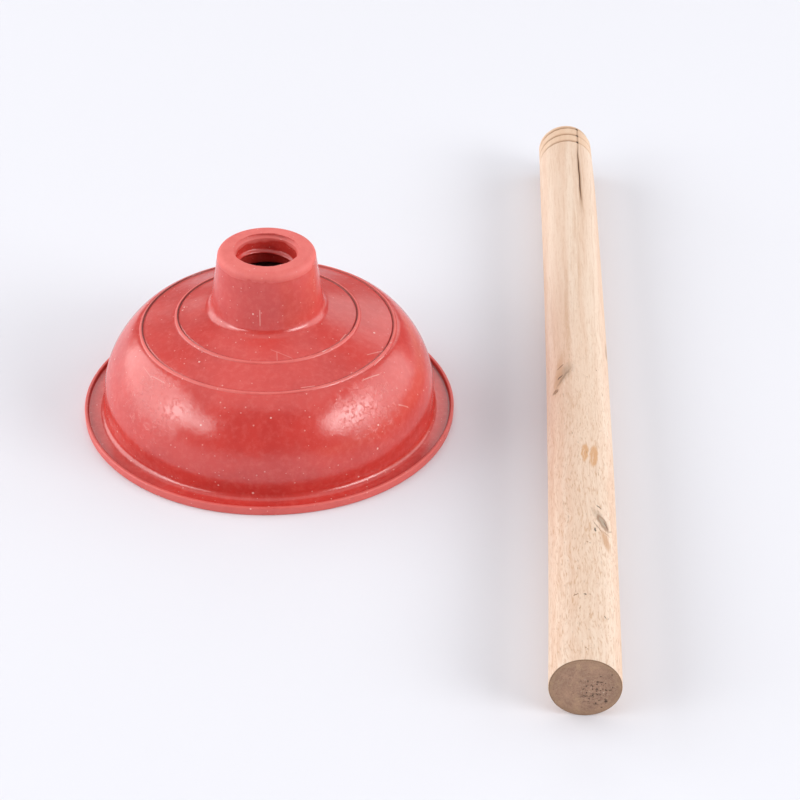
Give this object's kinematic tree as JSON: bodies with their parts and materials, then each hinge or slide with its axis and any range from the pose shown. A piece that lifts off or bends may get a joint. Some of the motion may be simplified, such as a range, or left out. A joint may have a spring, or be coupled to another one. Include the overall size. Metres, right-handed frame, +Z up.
{
  "type": "sink plunger",
  "caption": "Sink plunger: a moulded rubber force cup with a threaded socket, and a turned wooden handle with a screw-in tip lying beside it.",
  "frame": {"origin": "on the surface that the plunger lies on, under the middle of the whole layout's box; the cup's axis is vertical at x = -0.031 m, y = -0.014 m, and the handle's axis is at x = 0.0933 m, z = 0.0127 m", "axes": "+Z up, +Y along the handle towards its threaded tip, +X from the cup towards the handle"},
  "size_m": [0.212, 0.392, 0.0738],
  "materials": {
    "rubber": "red moulded rubber, satin, dusty at the socket's top and on the rim's lip",
    "wood": "pale sanded hardwood, bare, fine grain along the stick, brown end grain"
  },
  "bodies": {
    "bell": {"cup_bell": "rubber"},
    "socket": {"cup_socket": "rubber"},
    "handle": {"handle": "wood"}
  },
  "joints": [
    {"name": "cup_press", "type": "slide", "parent": "bell", "child": "socket", "axis": [0, 0, -1], "range_m": [0, 0.018], "stiffness_N_per_m": 3000, "deforming": ["cup_bell"]},
    {"name": "handle_turn", "type": "hinge", "parent": "bell", "child": "handle", "pos_m": [0.0933, 0, 0.0127], "axis": [0, 1, 0], "continuous": true}
  ]
}
